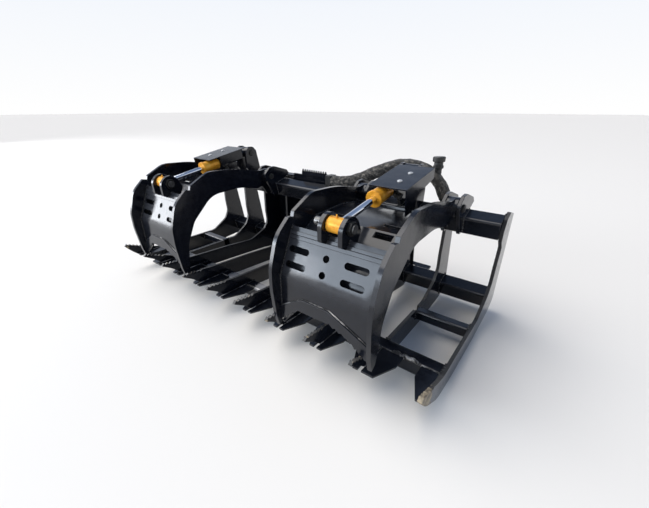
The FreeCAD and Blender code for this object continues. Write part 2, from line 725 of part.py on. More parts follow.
def cross_strip(label, middle):
    half = size("lid_plate_gap") / 2 - size("lid_plate") / 2
    shape = strip([(-118, -12), (-110, -12), (-102, 26), (-110, 26)],
                  middle - half, middle + half)
    return shaped(label, shape)


rod_y = size("rod_pin_y")
rod_z = size("rod_pin_z")
ear_outline = [(-575, 6, 8), (-577, 66, 40), (-532, 112, 46), (-486, 76, 40), (-466, 36, 10),
               (-500, -34, 8), (-522, -14), bend_top, (-552, -6, 4)]


def ears(label, middle):
    plates = []
    for inner_face in (middle - size("ear_gap") / 2 - size("ear_plate"),
                       middle + size("ear_gap") / 2):
        plate = strip(ear_outline, inner_face, inner_face + size("ear_plate"))
        hole = round_bar(size("rod_pin_radius"), inner_face, inner_face + size("ear_plate"),
                         rod_y, rod_z)
        plates.append(plate.cut(hole))
    both = Part.makeCompound(plates)
    clear = strip(offset_profile(front_line, skin), middle - 300, middle + 300)
    return shaped(label, both.cut(clear))


def rod_pin(label, middle):
    radius = size("rod_pin_radius")
    pin = round_bar(radius, middle - size("rod_pin_left"), middle + size("rod_pin_right"),
                    rod_y, rod_z)
    cross = Part.makeCylinder(4, 60, spot(middle - size("rod_pin_left") + 14, rod_y - 30, rod_z),
                              FreeCAD.Vector(0, 1, 0))
    return shaped(label, pin.cut(cross))


def pin_nut(label, middle):
    start = middle + size("ear_gap") / 2 + size("ear_plate")
    corners = []
    for corner in range(7):
        turn = math.radians(60 * corner)
        corners.append(spot(start, rod_y + size("pin_nut_radius") * math.cos(turn),
                            rod_z + size("pin_nut_radius") * math.sin(turn)))
    nut = Part.Face(Part.makePolygon(corners)).extrude(
        FreeCAD.Vector(size("pin_nut_length"), 0, 0))
    hole = round_bar(size("rod_pin_radius"), start, start + size("pin_nut_length"),
                     rod_y, rod_z)
    return shaped(label, nut.cut(hole))


# Hydraulic cylinders, laid out along the line from the rod pin to the base pin
run_y = base_y - rod_y
run_z = base_z - rod_z
pin_distance = math.hypot(run_y, run_z)
along = FreeCAD.Vector(0, run_y / pin_distance, run_z / pin_distance)
upward = FreeCAD.Vector(0, -run_z / pin_distance, run_y / pin_distance)


def on_axis(middle, distance, rise=0, sideways=0):
    return (spot(middle, rod_y, rod_z) + along * distance + upward * rise
            + FreeCAD.Vector(sideways, 0, 0))


def tube_piece(middle, radius, start, end):
    return Part.makeCylinder(radius, end - start, on_axis(middle, start), along)


def rod(label, middle):
    gland_end = size("gland_start") + size("gland_length")
    shape = tube_piece(middle, size("rod_radius"), size("eye_radius") - 1, gland_end + 30)
    piston = tube_piece(middle, size("bore_radius") - size("running_gap"), gland_end + 6,
                        gland_end + 6 + size("piston_length"))
    shape = shape.fuse(piston)
    socket = round_bar(size("eye_radius"), middle - eye_half, middle + eye_half, rod_y, rod_z)
    return shaped(label, shape.cut(socket))


def rod_eye(label, middle):
    eye = round_bar(size("eye_radius"), middle - eye_half, middle + eye_half, rod_y, rod_z)
    bore = round_bar(size("rod_pin_radius") + size("running_gap"), middle - eye_half,
                     middle + eye_half, rod_y, rod_z)
    return shaped(label, eye.cut(bore))


def barrel(label, middle):
    gland_end = size("gland_start") + size("gland_length")
    shape = tube_piece(middle, size("barrel_radius"), gland_end, size("barrel_end"))
    neck = tube_piece(middle, 20, size("barrel_end"), pin_distance)
    eye = round_bar(size("base_eye_radius"), middle - eye_half, middle + eye_half,
                    base_y, base_z)
    bore = tube_piece(middle, size("bore_radius"), gland_end,
                      size("barrel_end") - size("cap_length"))
    hole = round_bar(base_pin + size("base_eye_slack"), middle - eye_half, middle + eye_half,
                     base_y, base_z)
    return shaped(label, shape.fuse(neck).fuse(eye).cut(bore).cut(hole))


def gland(label, middle):
    start = size("gland_start")
    end = start + size("gland_length")
    flange = tube_piece(middle, size("gland_flange"), start, start + 12)
    body = tube_piece(middle, size("gland_radius"), start + 12, end)
    bore = tube_piece(middle, size("rod_radius") + size("running_gap"), start, end)
    return shaped(label, flange.fuse(body).cut(bore))


def guard(label, middle):
    """A bent cover over the cylinder with an arched flange on its outer side."""
    plate = size("guard_plate")
    start = size("guard_start")
    end = start + size("guard_length")
    rise = size("guard_rise")
    outer = size("guard_outer")
    inner = -size("guard_inner")
    outward = 1 if middle > 0 else -1

    def block(s0, s1, x0, x1, r0, r1):
        box = Part.makeBox(x1 - x0, s1 - s0, r1 - r0)
        turn = FreeCAD.Rotation(FreeCAD.Vector(1, 0, 0), math.degrees(math.atan2(run_z, run_y)))
        first = min(outward * x0, outward * x1)
        box.Placement = FreeCAD.Placement(on_axis(middle, s0, r0, first), turn)
        return box

    cover = block(start, end, inner, outer, rise, rise + plate)
    gland_end = size("gland_start") + size("gland_length")
    cover = cover.fuse(block(gland_end, end - 25, inner, inner + plate, -12, rise))
    flange = block(start, end, outer - plate, outer, -62, rise)
    arch = []
    for along_guard, height in ((75, -63), (89, -27), (107, -13), (158, -9), (end + 1 - start, -1),
                                (end + 1 - start, -63)):
        arch.append(on_axis(middle, start + along_guard, height, outward * outer))
    arch.append(arch[0])
    window = Part.Face(Part.makePolygon(arch)).extrude(FreeCAD.Vector(-outward * plate, 0, 0))
    cover = cover.fuse(flange.cut(window))
    saddle = block(gland_end + 14, end - 28, -14, 14, size("barrel_radius") - 3, rise)
    body = tube_piece(middle, size("barrel_radius"), start, end)
    cover = cover.fuse(saddle.cut(body))
    for hole_at in (start + 70, start + 160):
        hole = Part.makeCylinder(9, plate + 2, on_axis(middle, hole_at, rise - 1, outward * 49),
                                 upward)
        cover = cover.cut(hole)
    return shaped(label, cover)


for side_name, middle in zip(("left", "right"), lid_middles):
    left_x, right_x = lid_plate_places(middle)
    PIECES.append(lid_side(f"lid_{side_name}_side_1", left_x))
    PIECES.append(lid_side(f"lid_{side_name}_side_2", right_x))
    PIECES.append(front_plate(f"lid_{side_name}_front_plate", middle))
    PIECES.append(mouth_plate(f"lid_{side_name}_mouth_plate", middle))
    PIECES.append(top_plate(f"lid_{side_name}_top_plate", middle))
    PIECES.append(cross_strip(f"lid_{side_name}_cross_strip", middle))
    PIECES.append(ears(f"lid_{side_name}_rod_ears", middle))
    PIECES.append(rod_pin(f"lid_{side_name}_rod_pin", middle))
    PIECES.append(pin_nut(f"lid_{side_name}_rod_pin_nut", middle))
    PIECES.append(rod(f"cylinder_{side_name}_rod", middle))
    PIECES.append(rod_eye(f"cylinder_{side_name}_rod_eye", middle))
    PIECES.append(barrel(f"cylinder_{side_name}_barrel", middle))
    PIECES.append(gland(f"cylinder_{side_name}_gland", middle))
    PIECES.append(guard(f"cylinder_{side_name}_guard", middle))

# Coupler block on the top tube, at the left end of the hoses
coupler_side = size("coupler_side")
coupler_x = 40
coupler_face = coupler_x + 34
coupler = bar(coupler_x, coupler_face, 40, 40 + coupler_side, 24, 24 + coupler_side)
tube_solid = Part.makeBox(200, top_side, top_side)
tube_solid.rotate(FreeCAD.Vector(), FreeCAD.Vector(1, 0, 0), size("tube_tilt"))
tube_solid.translate(spot(coupler_x - 60, top_side * math.sin(TILT), -top_side * math.cos(TILT)))
foot = bar(coupler_x + 4, coupler_x + 30, 44, 70, 0, 30).cut(tube_solid)
PIECES.append(shaped("hose_coupler", coupler.fuse(foot)))


# The sleeved hose bundle between them
def tangent_tube(points, radius):
    """Straight runs joined by tangent arcs, each as large as its runs allow."""
    runs = [points[i + 1] - points[i] for i in range(len(points) - 1)]
    edges = []
    radii = []
    start = points[0]
    for i in range(1, len(points) - 1):
        turn = runs[i - 1].getAngle(runs[i])
        reach = 0.45 * min(runs[i - 1].Length, runs[i].Length)
        bend = reach / math.tan(turn / 2)
        radii.append(bend)
        back = FreeCAD.Vector(runs[i - 1]).normalize()
        ahead = FreeCAD.Vector(runs[i]).normalize()
        enter = points[i] - back * reach
        leave = points[i] + ahead * reach
        inward = (ahead - back).normalize()
        middle = points[i] + inward * (bend / math.cos(turn / 2) - bend)
        edges.append(Part.LineSegment(start, enter).toShape())
        edges.append(Part.Arc(enter, middle, leave).toShape())
        start = leave
    edges.append(Part.LineSegment(start, points[-1]).toShape())
    path = Part.Wire(edges)
    ring = Part.Wire(Part.makeCircle(radius, points[0], runs[0]))
    tube = path.makePipeShell([ring], True, True)
    print("cord radii", [round(r) for r in radii],
          "volume ratio", round(tube.Volume / (math.pi * radius ** 2 * path.Length), 4))
    return tube


hose_middle_y = 40 + coupler_side / 2
hose_middle_z = 24 + coupler_side / 2
hose_route = [spot(coupler_face, hose_middle_y, hose_middle_z),
              spot(coupler_face + 58, hose_middle_y, hose_middle_z),
              spot(198, 84, 64), spot(262, 106, 92), spot(326, 124, 124),
              spot(394, 136, 150), spot(466, 140, 158), spot(532, 139, 146),
              spot(584, 133, 116), spot(622, 125, 76), spot(646, 119, 36)]
PIECES.append(shaped("hose_bundle", tangent_tube(hose_route, size("hose_radius"))))

# Bulkhead clamp on top of the second tine from the right, where the hoses turn down
last_run = hose_route[-1] - hose_route[-2]
clamp_x = tine_x[8] - 30
clamp = bar(clamp_x, clamp_x + 64, 96, 148, tine_top, tine_top + 24)
fitting = Part.makeCylinder(size("hose_radius") - 3, 24, hose_route[-1], last_run)
below = bar(clamp_x - 80, clamp_x, 80, 160, -60, tine_top)
PIECES.append(shaped("hose_bulkhead", fitting.cut(below).fuse(clamp)))

doc.recompute()
for item in doc.Objects:
    if "Invalid" in item.State or "Error" in item.State:
        raise RuntimeError(f"{item.Label} did not build: {item.State}")
for piece in PIECES:
    if piece.Shape.isNull() or not piece.Shape.isValid():
        raise RuntimeError(f"{piece.Label} has no valid shape")

os.makedirs("parts", exist_ok=True)
for piece in PIECES:
    piece.Shape.exportStep(f"parts/{piece.Label}.step")
box = FreeCAD.BoundBox()
for piece in PIECES:
    box.add(piece.Shape.BoundBox)
print(len(PIECES), "pieces", [round(v, 2) for v in
                              (box.XMin, box.XMax, box.YMin, box.YMax, box.ZMin, box.ZMax)])
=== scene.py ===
import json
import math

import bmesh
import bpy
from mathutils import Euler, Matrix, Vector, noise as cloth_noise
from mathutils.bvhtree import BVHTree

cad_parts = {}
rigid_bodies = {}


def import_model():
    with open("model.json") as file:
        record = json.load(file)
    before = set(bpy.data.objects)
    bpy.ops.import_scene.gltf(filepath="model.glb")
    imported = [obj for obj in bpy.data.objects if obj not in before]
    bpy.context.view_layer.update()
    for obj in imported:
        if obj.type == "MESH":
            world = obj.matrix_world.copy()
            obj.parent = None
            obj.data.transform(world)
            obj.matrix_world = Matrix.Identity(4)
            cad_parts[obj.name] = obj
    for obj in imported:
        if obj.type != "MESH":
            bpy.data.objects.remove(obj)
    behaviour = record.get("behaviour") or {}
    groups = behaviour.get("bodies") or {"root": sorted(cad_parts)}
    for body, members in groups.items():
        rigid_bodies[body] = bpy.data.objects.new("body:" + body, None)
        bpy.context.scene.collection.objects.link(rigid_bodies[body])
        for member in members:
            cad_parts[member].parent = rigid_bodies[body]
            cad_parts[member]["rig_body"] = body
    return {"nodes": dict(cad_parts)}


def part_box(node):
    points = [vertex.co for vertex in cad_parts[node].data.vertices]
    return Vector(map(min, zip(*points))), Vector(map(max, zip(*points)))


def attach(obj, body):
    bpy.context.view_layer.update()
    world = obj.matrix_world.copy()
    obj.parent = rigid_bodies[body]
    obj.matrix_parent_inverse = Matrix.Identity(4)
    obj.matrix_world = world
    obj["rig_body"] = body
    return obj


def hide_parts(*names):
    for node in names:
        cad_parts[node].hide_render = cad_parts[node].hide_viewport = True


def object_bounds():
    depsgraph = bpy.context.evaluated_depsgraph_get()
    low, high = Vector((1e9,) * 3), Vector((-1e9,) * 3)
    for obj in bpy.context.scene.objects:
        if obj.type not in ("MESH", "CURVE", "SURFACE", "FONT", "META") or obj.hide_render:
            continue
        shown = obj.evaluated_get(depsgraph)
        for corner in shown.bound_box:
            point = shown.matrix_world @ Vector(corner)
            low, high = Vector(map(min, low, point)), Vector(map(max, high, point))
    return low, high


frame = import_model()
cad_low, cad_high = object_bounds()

# Camera
# The photograph was taken from above the right front corner with a wide lens.
# All places below are measured from the top front edge of the top tube.
edge = Vector((0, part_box("top_tube")[0].y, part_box("floor_tube_left")[1].z + 0.405))
camera_heading = math.radians(38.30)
camera_pitch = math.radians(26.65)
lens = bpy.data.cameras.new("photo_camera")
lens.lens = 17.898
lens.sensor_width = 36
lens.shift_x = 0.00884
lens.shift_y = 0.02327
lens.clip_start = 0.02
camera = bpy.data.objects.new("photo_camera", lens)
camera.location = edge + Vector((1.0821, -1.3329, 0.3939))
camera.rotation_euler = Euler((math.pi / 2 - camera_pitch, 0, camera_heading), "XYZ")
bpy.context.scene.collection.objects.link(camera)
bpy.context.scene.camera = camera


# Hose bundle
# Two hydraulic hoses run side by side in one woven grey sleeve, from the coupler
# on the back plate over behind the right tower to a clamp on the second tine.
def new_material(name):
    """A material with a bare Principled shader, its node tree and the shader."""
    material = bpy.data.materials.new(name)
    material.use_nodes = True
    tree = material.node_tree
    tree.nodes.clear()
    output = tree.nodes.new("ShaderNodeOutputMaterial")
    shader = tree.nodes.new("ShaderNodeBsdfPrincipled")
    tree.links.new(shader.outputs[0], output.inputs[0])
    return material, tree, shader


def coordinates(tree, kind="Object"):
    return tree.nodes.new("ShaderNodeTexCoord").outputs[kind]


def separate(tree, vector):
    """The X, Y and Z outputs of a vector socket."""
    node = tree.nodes.new("ShaderNodeSeparateXYZ")
    tree.links.new(vector, node.inputs[0])
    return node.outputs


def noise(tree, scale, detail=4.0, place=None):
    """A noise texture on object coordinates; the scale is in bumps per metre."""
    texture = tree.nodes.new("ShaderNodeTexNoise")
    texture.inputs["Scale"].default_value = scale
    texture.inputs["Detail"].default_value = detail
    texture.inputs["Roughness"].default_value = 0.6
    tree.links.new(coordinates(tree) if place is None else place, texture.inputs["Vector"])
    return texture.outputs["Fac"]


def ramp(tree, value, stops):
    """A colour ramp over (position, colour) stops."""
    node = tree.nodes.new("ShaderNodeValToRGB")
    elements = node.color_ramp.elements
    while len(elements) < len(stops):
        elements.new(0.5)
    for element, (position, colour) in zip(elements, stops):
        element.position = position
        element.color = (*colour, 1)
    tree.links.new(value, node.inputs["Fac"])
    return node.outputs["Color"]


def grey(level):
    return (level, level, level)


def grey_ramp(tree, value, *stops):
    """A ramp between greys, for a roughness or a neutral colour."""
    return ramp(tree, value, [(position, grey(level)) for position, level in stops])


def bump(tree, shader, height, distance, strength, after=None):
    """A relief in metres, laid over an earlier relief."""
    node = tree.nodes.new("ShaderNodeBump")
    node.inputs["Strength"].default_value = strength
    node.inputs["Distance"].default_value = distance
    tree.links.new(height, node.inputs["Height"])
    if after is not None:
        tree.links.new(after, node.inputs["Normal"])
    tree.links.new(node.outputs["Normal"], shader.inputs["Normal"])
    return node.outputs["Normal"]


def calculate(tree, operation, first, second=0.0):
    """One math node on sockets or plain numbers."""
    node = tree.nodes.new("ShaderNodeMath")
    node.operation = operation
    for socket, value in zip(node.inputs, (first, second)):
        if isinstance(value, (int, float)):
            socket.default_value = value
        else:
            tree.links.new(value, socket)
    return node.outputs[0]


def plus(tree, first, second):
    return calculate(tree, "ADD", first, second)


def minus(tree, first, second):
    return calculate(tree, "SUBTRACT", first, second)


def times(tree, first, second):
    return calculate(tree, "MULTIPLY", first, second)


def blend_colours(tree, factor, below, above):
    """Two colours, sockets or plain, mixed by a factor."""
    node = tree.nodes.new("ShaderNodeMix")
    node.data_type = "RGBA"
    tree.links.new(factor, node.inputs["Factor"])
    for socket, value in ((node.inputs["A"], below), (node.inputs["B"], above)):
        if isinstance(value, tuple):
            socket.default_value = (*value, 1)
        else:
            tree.links.new(value, socket)
    return node.outputs["Result"]


def linked_object(name, data):
    """A new object in the scene at the origin."""
    piece = bpy.data.objects.new(name, data)
    bpy.context.scene.collection.objects.link(piece)
    return piece


def made_piece(name, work, material):
    """A finished bmesh as an object with one material."""
    bmesh.ops.recalc_face_normals(work, faces=work.faces)
    mesh = bpy.data.meshes.new(name)
    work.to_mesh(mesh)
    work.free()
    mesh.materials.append(material)
    return linked_object(name, mesh)


threads_along = 150
threads_around = 26
sleeve, tree, shader = new_material("woven_sleeve")
thread = separate(tree, coordinates(tree, "UV"))
along = times(tree, thread["X"], threads_along * math.pi)
around = times(tree, thread["Y"], threads_around * math.pi)
left_turn = calculate(tree, "SINE", plus(tree, along, around))
right_turn = calculate(tree, "SINE", minus(tree, along, around))
weave = times(tree, left_turn, right_turn)
worn = plus(tree, times(tree, weave, 0.10), noise(tree, 70, 6))
tree.links.new(ramp(tree, worn, [(0.40, (0.008, 0.008, 0.007)), (0.54, (0.050, 0.046, 0.041)),
                                 (0.70, (0.21, 0.19, 0.16))]), shader.inputs["Base Color"])
shader.inputs["Roughness"].default_value = 0.9
shader.inputs["Sheen Weight"].default_value = 0.15
rough = bump(tree, shader, noise(tree, 38, 4), 0.010, 0.8)
bump(tree, shader, weave, 0.0012, 0.8, rough)

hose_route = [(0.074, 0.066, 0.050), (0.132, 0.066, 0.050), (0.198, 0.084, 0.064),
              (0.262, 0.106, 0.092), (0.326, 0.124, 0.124), (0.394, 0.136, 0.150),
              (0.466, 0.140, 0.158), (0.532, 0.139, 0.146), (0.584, 0.133, 0.116),
              (0.622, 0.125, 0.076), (0.646, 0.119, 0.036)]
hose_radius = 0.0275
sleeve_rings = 190
sleeve_sides = 40
line = bpy.data.curves.new("sleeve_line", "CURVE")
line.dimensions = "3D"
line.resolution_u = 24
spline = line.splines.new("NURBS")
spline.points.add(len(hose_route) - 1)
for point, place in zip(spline.points, hose_route):
    point.co = (*(edge + Vector(place)), 1)
spline.order_u = 3
spline.use_endpoint_u = True
line_object = linked_object("sleeve_line", line)
bpy.context.view_layer.update()
depsgraph = bpy.context.evaluated_depsgraph_get()
line_mesh = bpy.data.meshes.new_from_object(line_object.evaluated_get(depsgraph))
fine_line = [vertex.co.copy() for vertex in line_mesh.vertices]
bpy.data.objects.remove(line_object)
bpy.data.meshes.remove(line_mesh)
reached = [0.0]
for before, after in zip(fine_line, fine_line[1:]):
    reached.append(reached[-1] + (after - before).length)
sleeve_length = reached[-1]


def sleeve_point(distance):
    """The place and direction on the sleeve's line at a distance from its start."""
    index = 1
    while index < len(reached) - 1 and reached[index] < distance:
        index += 1
    part = (distance - reached[index - 1]) / (reached[index] - reached[index - 1])
    return fine_line[index - 1].lerp(fine_line[index], part), \
        (fine_line[index] - fine_line[index - 1]).normalized()


sleeve_end = 0.05
loop_middle = 0.24
loop_spread = 0.13
rings = []
for ring in range(sleeve_rings + 1):
    distance = sleeve_length * ring / sleeve_rings
    centre, direction = sleeve_point(distance)
    flat = direction.cross(Vector((0, 0, 1))).normalized()
    upright = flat.cross(direction).normalized()
    loose = min(1.0, distance / sleeve_end, (sleeve_length - distance) / sleeve_end)
    slack = 0.16 * math.exp(-((distance - loop_middle) / loop_spread) ** 2)
    circle = []
    for side in range(sleeve_sides):
        turn = 2 * math.pi * side / sleeve_sides
        level, height = math.cos(turn), math.sin(turn)
        out = flat * level + upright * height
        oval = 1 - 0.09 * loose * abs(height) ** 3
        fold = cloth_noise.noise(Vector((distance * 24, 2.2 * level, 2.2 * height)))
        crease = cloth_noise.noise(Vector((distance * 70, 4 * level, 4 * height)))
        radius = hose_radius * oval * (1 + loose * (slack + 0.15 * fold + 0.06 * crease))
        circle.append(centre + out * radius)
    rings.append(circle)
work = bmesh.new()
vertices = [[work.verts.new(place) for place in circle] for circle in rings]
uv_layer = work.loops.layers.uv.new("UVMap")
for ring in range(sleeve_rings):
    for side in range(sleeve_sides):
        following = (side + 1) % sleeve_sides
        face = work.faces.new((vertices[ring][side], vertices[ring + 1][side],
                               vertices[ring + 1][following], vertices[ring][following]))
        face.smooth = True
        corners = ((ring, side), (ring + 1, side), (ring + 1, side + 1), (ring, side + 1))
        for loop, (ring_at, side_at) in zip(face.loops, corners):
            loop[uv_layer].uv = (ring_at / sleeve_rings, side_at / sleeve_sides)
work.faces.new(vertices[0])
work.faces.new(vertices[-1][::-1])
bundle = made_piece("sleeved_hoses", work, sleeve)


def turned(name, start, aim, profile, sides, material, body):
    """A turned piece: (distance, radius) rings along a line, closed at both ends."""
    axis = Vector(aim).normalized()
    across = axis.orthogonal().normalized()
    other = axis.cross(across)
    work = bmesh.new()
    spokes = [across * math.cos(2 * math.pi * side / sides)
              + other * math.sin(2 * math.pi * side / sides) for side in range(sides)]
    circles = [[work.verts.new(Vector(start) + axis * distance + radius * spoke)
                for spoke in spokes] for distance, radius in profile]
    for below, above in zip(circles, circles[1:]):
        for side in range(sides):
            following = (side + 1) % sides
            work.faces.new((below[side], below[following], above[following], above[side]))
    work.faces.new(circles[0][::-1])
    work.faces.new(circles[-1])
    bmesh.ops.recalc_face_normals(work, faces=work.faces)
    for face in work.faces:
        face.smooth = len(face.verts) == 4 and sides > 8
    for side in work.edges:
        side.smooth = side.calc_face_angle(0) < math.radians(30)
    piece = made_piece(name, work, material)
    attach(piece, body)
    return piece


def speckled(tree, shader, colour_noise, colours, gloss_noise, roughnesses):
    """A grey between two levels and a roughness between two, each by its own noise."""
    for socket, (scale, detail), (low, high) in (("Base Color", colour_noise, colours),
                                                 ("Roughness", gloss_noise, roughnesses)):
        tree.links.new(grey_ramp(tree, noise(tree, scale, detail), (0.3, low), (0.75, high)),
                       shader.inputs[socket])


# A spare coupler's rubber cap stands out of the top of the sleeve.
rubber, tree, shader = new_material("cap_rubber")
speckled(tree, shader, (110, 5), (0.008, 0.028), (60, 3), (0.35, 0.55))
bump(tree, shader, noise(tree, 400, 3), 0.0004, 0.4)
cap = turned("coupler_cap", edge + Vector((0.588, 0.138, 0.132)), (-0.05, 0.02, 1.0),
             [(0.0, 0.016), (0.020, 0.016), (0.024, 0.022), (0.034, 0.0225), (0.036, 0.019),
              (0.048, 0.019), (0.051, 0.026), (0.068, 0.027), (0.071, 0.024)],
             28, rubber, "frame")
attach(bundle, "frame")
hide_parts("hose_bundle")

# Black gloss paint
# Every welded plate and tube is sprayed a black gloss that waves a little, and the
# paint's colour is tinted blue as a painted reflection of the sky.
# Dust settles on level faces, and the fronts that lean back get a painted sheen:
# a pale grey in their colour that stands in for the light they reflect.
def slope(tree, value, start, full):
    """Nothing up to start, then rising to one at full."""
    rising = calculate(tree, "DIVIDE", minus(tree, value, start), full - start)
    return calculate(tree, "MINIMUM", calculate(tree, "MAXIMUM", rising, 0.0), 1.0)


def black_film_with_painted_sky_tint(tree, grain):
    """The paint's colour, which varies with its grain, tinted blue as a painted reflection of
    the sky.
    """
    return ramp(tree, grain, [(0.3, (0.0026, 0.0034, 0.0062)),
                              (0.75, (0.0068, 0.0085, 0.0140))])


def orange_peel(tree, shader, place, after=None):
    """The fine ripple that a spray gun leaves."""
    bump(tree, shader, noise(tree, 380, 2, place), 0.0002, 0.35, after)


paint_gloss = 0.45
# The grey of settled dust, which the painted sheen also uses.
dust_and_sheen_colour = (0.18, 0.19, 0.21)
paint, tree, shader = new_material("black_gloss_paint")
place = coordinates(tree)
facing = separate(tree, coordinates(tree, "Normal"))
cloud = noise(tree, 4, 4, place)
grain = noise(tree, 55, 6, place)
wave = noise(tree, 7, 2, place)
level_face = calculate(tree, "POWER", calculate(tree, "MAXIMUM", facing["Z"], 0.0), 3.0)
settled = times(tree, level_face, times(tree, cloud, grain))
# Painted sheen: the fronts that lean back are greyed in their colour, standing in for reflected
# light.
leaning_back = times(tree, slope(tree, facing["Z"], 0.15, 0.35),
                     slope(tree, times(tree, facing["Y"], -1.0), 0.3, 0.6))
painted_sheen = times(tree, leaning_back, plus(tree, times(tree, wave, 0.16), 0.06))
# Settled dust on level faces, plus the painted sheen on the fronts.
dust_and_sheen = plus(tree, times(tree, settled, 0.10), painted_sheen)
tree.links.new(blend_colours(tree, dust_and_sheen, black_film_with_painted_sky_tint(tree, grain), dust_and_sheen_colour),
               shader.inputs["Base Color"])
tree.links.new(grey_ramp(tree, plus(tree, times(tree, cloud, 0.6), times(tree, grain, 0.4)),
                         (0.35, 0.10), (0.7, 0.26)), shader.inputs["Roughness"])
shader.inputs["Specular IOR Level"].default_value = paint_gloss
orange_peel(tree, shader, place, bump(tree, shader, wave, 0.006, 0.30))

# Tine steel
# The tines carry the same paint, but their flame cut edges show the burner's
# drag lines, the grip teeth carry painted glints of pale earth colour, and the last tine's tip
# is worn and earthy.
last_tine_x = 0.898
teeth_length = 0.15
tine_paint, tree, shader = new_material("tine_paint")
place = coordinates(tree)
spot = separate(tree, place)
facing = separate(tree, coordinates(tree, "Normal"))
grain = noise(tree, 55, 6, place)
cut_face = calculate(tree, "LESS_THAN", calculate(tree, "ABSOLUTE", facing["X"]), 0.5)
drag = tree.nodes.new("ShaderNodeTexWave")
drag.wave_type = "BANDS"
drag.bands_direction = "DIAGONAL"
drag.inputs["Scale"].default_value = 160
drag.inputs["Distortion"].default_value = 3
tree.links.new(place, drag.inputs["Vector"])
from_tip = minus(tree, spot["Y"], cad_low.y)
near_tip = minus(tree, 1.0, times(tree, from_tip, 9.0))
on_last_tine = calculate(tree, "GREATER_THAN", spot["X"], last_tine_x)
wear = plus(tree, plus(tree, near_tip, times(tree, on_last_tine, 0.85)),
            times(tree, noise(tree, 26, 6, place), 1.2))
worn_tip = calculate(tree, "GREATER_THAN", wear, 1.62)
on_teeth = times(tree, cut_face, calculate(tree, "LESS_THAN", from_tip, teeth_length))
# Painted glints: pale specks on the teeth's cut faces, standing in for highlights.
painted_glints = times(tree, on_teeth, calculate(tree, "GREATER_THAN", noise(tree, 75, 4, place), 0.60))
wear_and_painted_glints = calculate(tree, "MAXIMUM", worn_tip, painted_glints)
cut_colour = blend_colours(tree, times(tree, cut_face, 0.6), black_film_with_painted_sky_tint(tree, grain),
                           (0.030, 0.028, 0.026))
earth_and_glint_colour = ramp(tree, noise(tree, 40, 6, place), [(0.38, (0.09, 0.075, 0.055)),
                                               (0.60, (0.36, 0.30, 0.21))])
tree.links.new(blend_colours(tree, wear_and_painted_glints, cut_colour, earth_and_glint_colour), shader.inputs["Base Color"])
tree.links.new(times(tree, wear_and_painted_glints, 0.2), shader.inputs["Metallic"])
painted = plus(tree, times(tree, cut_face, 0.16), times(tree, grain, 0.34))
tree.links.new(plus(tree, painted, times(tree, wear_and_painted_glints, 0.35)), shader.inputs["Roughness"])
shader.inputs["Specular IOR Level"].default_value = paint_gloss
orange_peel(tree, shader, place, bump(
    tree, shader, times(tree, drag.outputs["Fac"], cut_face), 0.0006, 0.6))

# Frame tubes
# Square tubes tie the tines together: one along the top, one at the heel, one
# under the front of the floor, and a short one in each outer bay of the floor.
sharp_edge = math.radians(28)
welded_meshes = {}


def finished(name, material, bevel, rolled=False):
    """A merged copy of a CAD node with its edges eased, which stands for it.
    A rolled tube keeps its ends sharp, and only its long outer corners are round."""
    source = frame["nodes"][name]
    mesh = source.data.copy()
    mesh.materials.clear()
    work = bmesh.new()
    work.from_mesh(mesh)
    bmesh.ops.remove_doubles(work, verts=work.verts, dist=2e-5)
    bmesh.ops.dissolve_limit(work, angle_limit=math.radians(0.6), verts=work.verts,
                             edges=work.edges)
    for face in work.faces:
        face.smooth = True
    for side in work.edges:
        sharp = len(side.link_faces) != 2 or side.calc_face_angle(0) > sharp_edge
        side.smooth = not sharp
    corners = [(side.verts[0].co.copy(), side.verts[1].co.copy())
               for side in work.edges if not side.smooth]
    if rolled:
        weight = work.edges.layers.float.new("bevel_weight_edge")
        for side in work.edges:
            run = side.verts[1].co - side.verts[0].co
            if abs(run.x) > 0.1 and side.is_convex and not side.smooth:
                side[weight] = 1.0
    welded_meshes[name] = (corners, BVHTree.FromBMesh(work))
    work.to_mesh(mesh)
    work.free()
    mesh.materials.append(material)
    piece = linked_object(name + "_piece", mesh)
    if bevel:
        ease = piece.modifiers.new("eased_edges", "BEVEL")
        ease.width = bevel
        ease.segments = 4 if rolled else 2
        ease.limit_method = "WEIGHT" if rolled else "ANGLE"
        ease.angle_limit = sharp_edge
        ease.harden_normals = True
        ease.use_clamp_overlap = True
    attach(piece, source["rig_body"])
    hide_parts(name)
    return piece


for name in ("top_tube", "heel_tube"):
    finished(name, paint, 0.010, rolled=True)
for name in ("floor_tube_left", "floor_tube_right"):
    finished(name, paint, 0.008, rolled=True)
finished("tube_end_plugs", paint, 0.0008)

# Painted highlights on the front tube
# Pale grey patches are painted on the top of the front tube between the left tines, standing in
# for its shine.
tine_spacing = 0.1932
bay_shift = 0.58
highlighted_front_paint, tree, shader = new_material("front_tube_painted_highlights")
place = coordinates(tree)
spot = separate(tree, place)
facing = separate(tree, coordinates(tree, "Normal"))
highlight_patches = plus(tree, times(tree, noise(tree, 5, 2, place), 0.8),
                 times(tree, noise(tree, 70, 6, place), 0.2))
bay = calculate(tree, "FRACT", plus(tree, calculate(tree, "DIVIDE", spot["X"], tine_spacing),
                                    bay_shift))
from_middle = calculate(tree, "ABSOLUTE", minus(tree, bay, 0.5))
highlight_in_bay = minus(tree, plus(tree, highlight_patches, 0.16), from_middle)
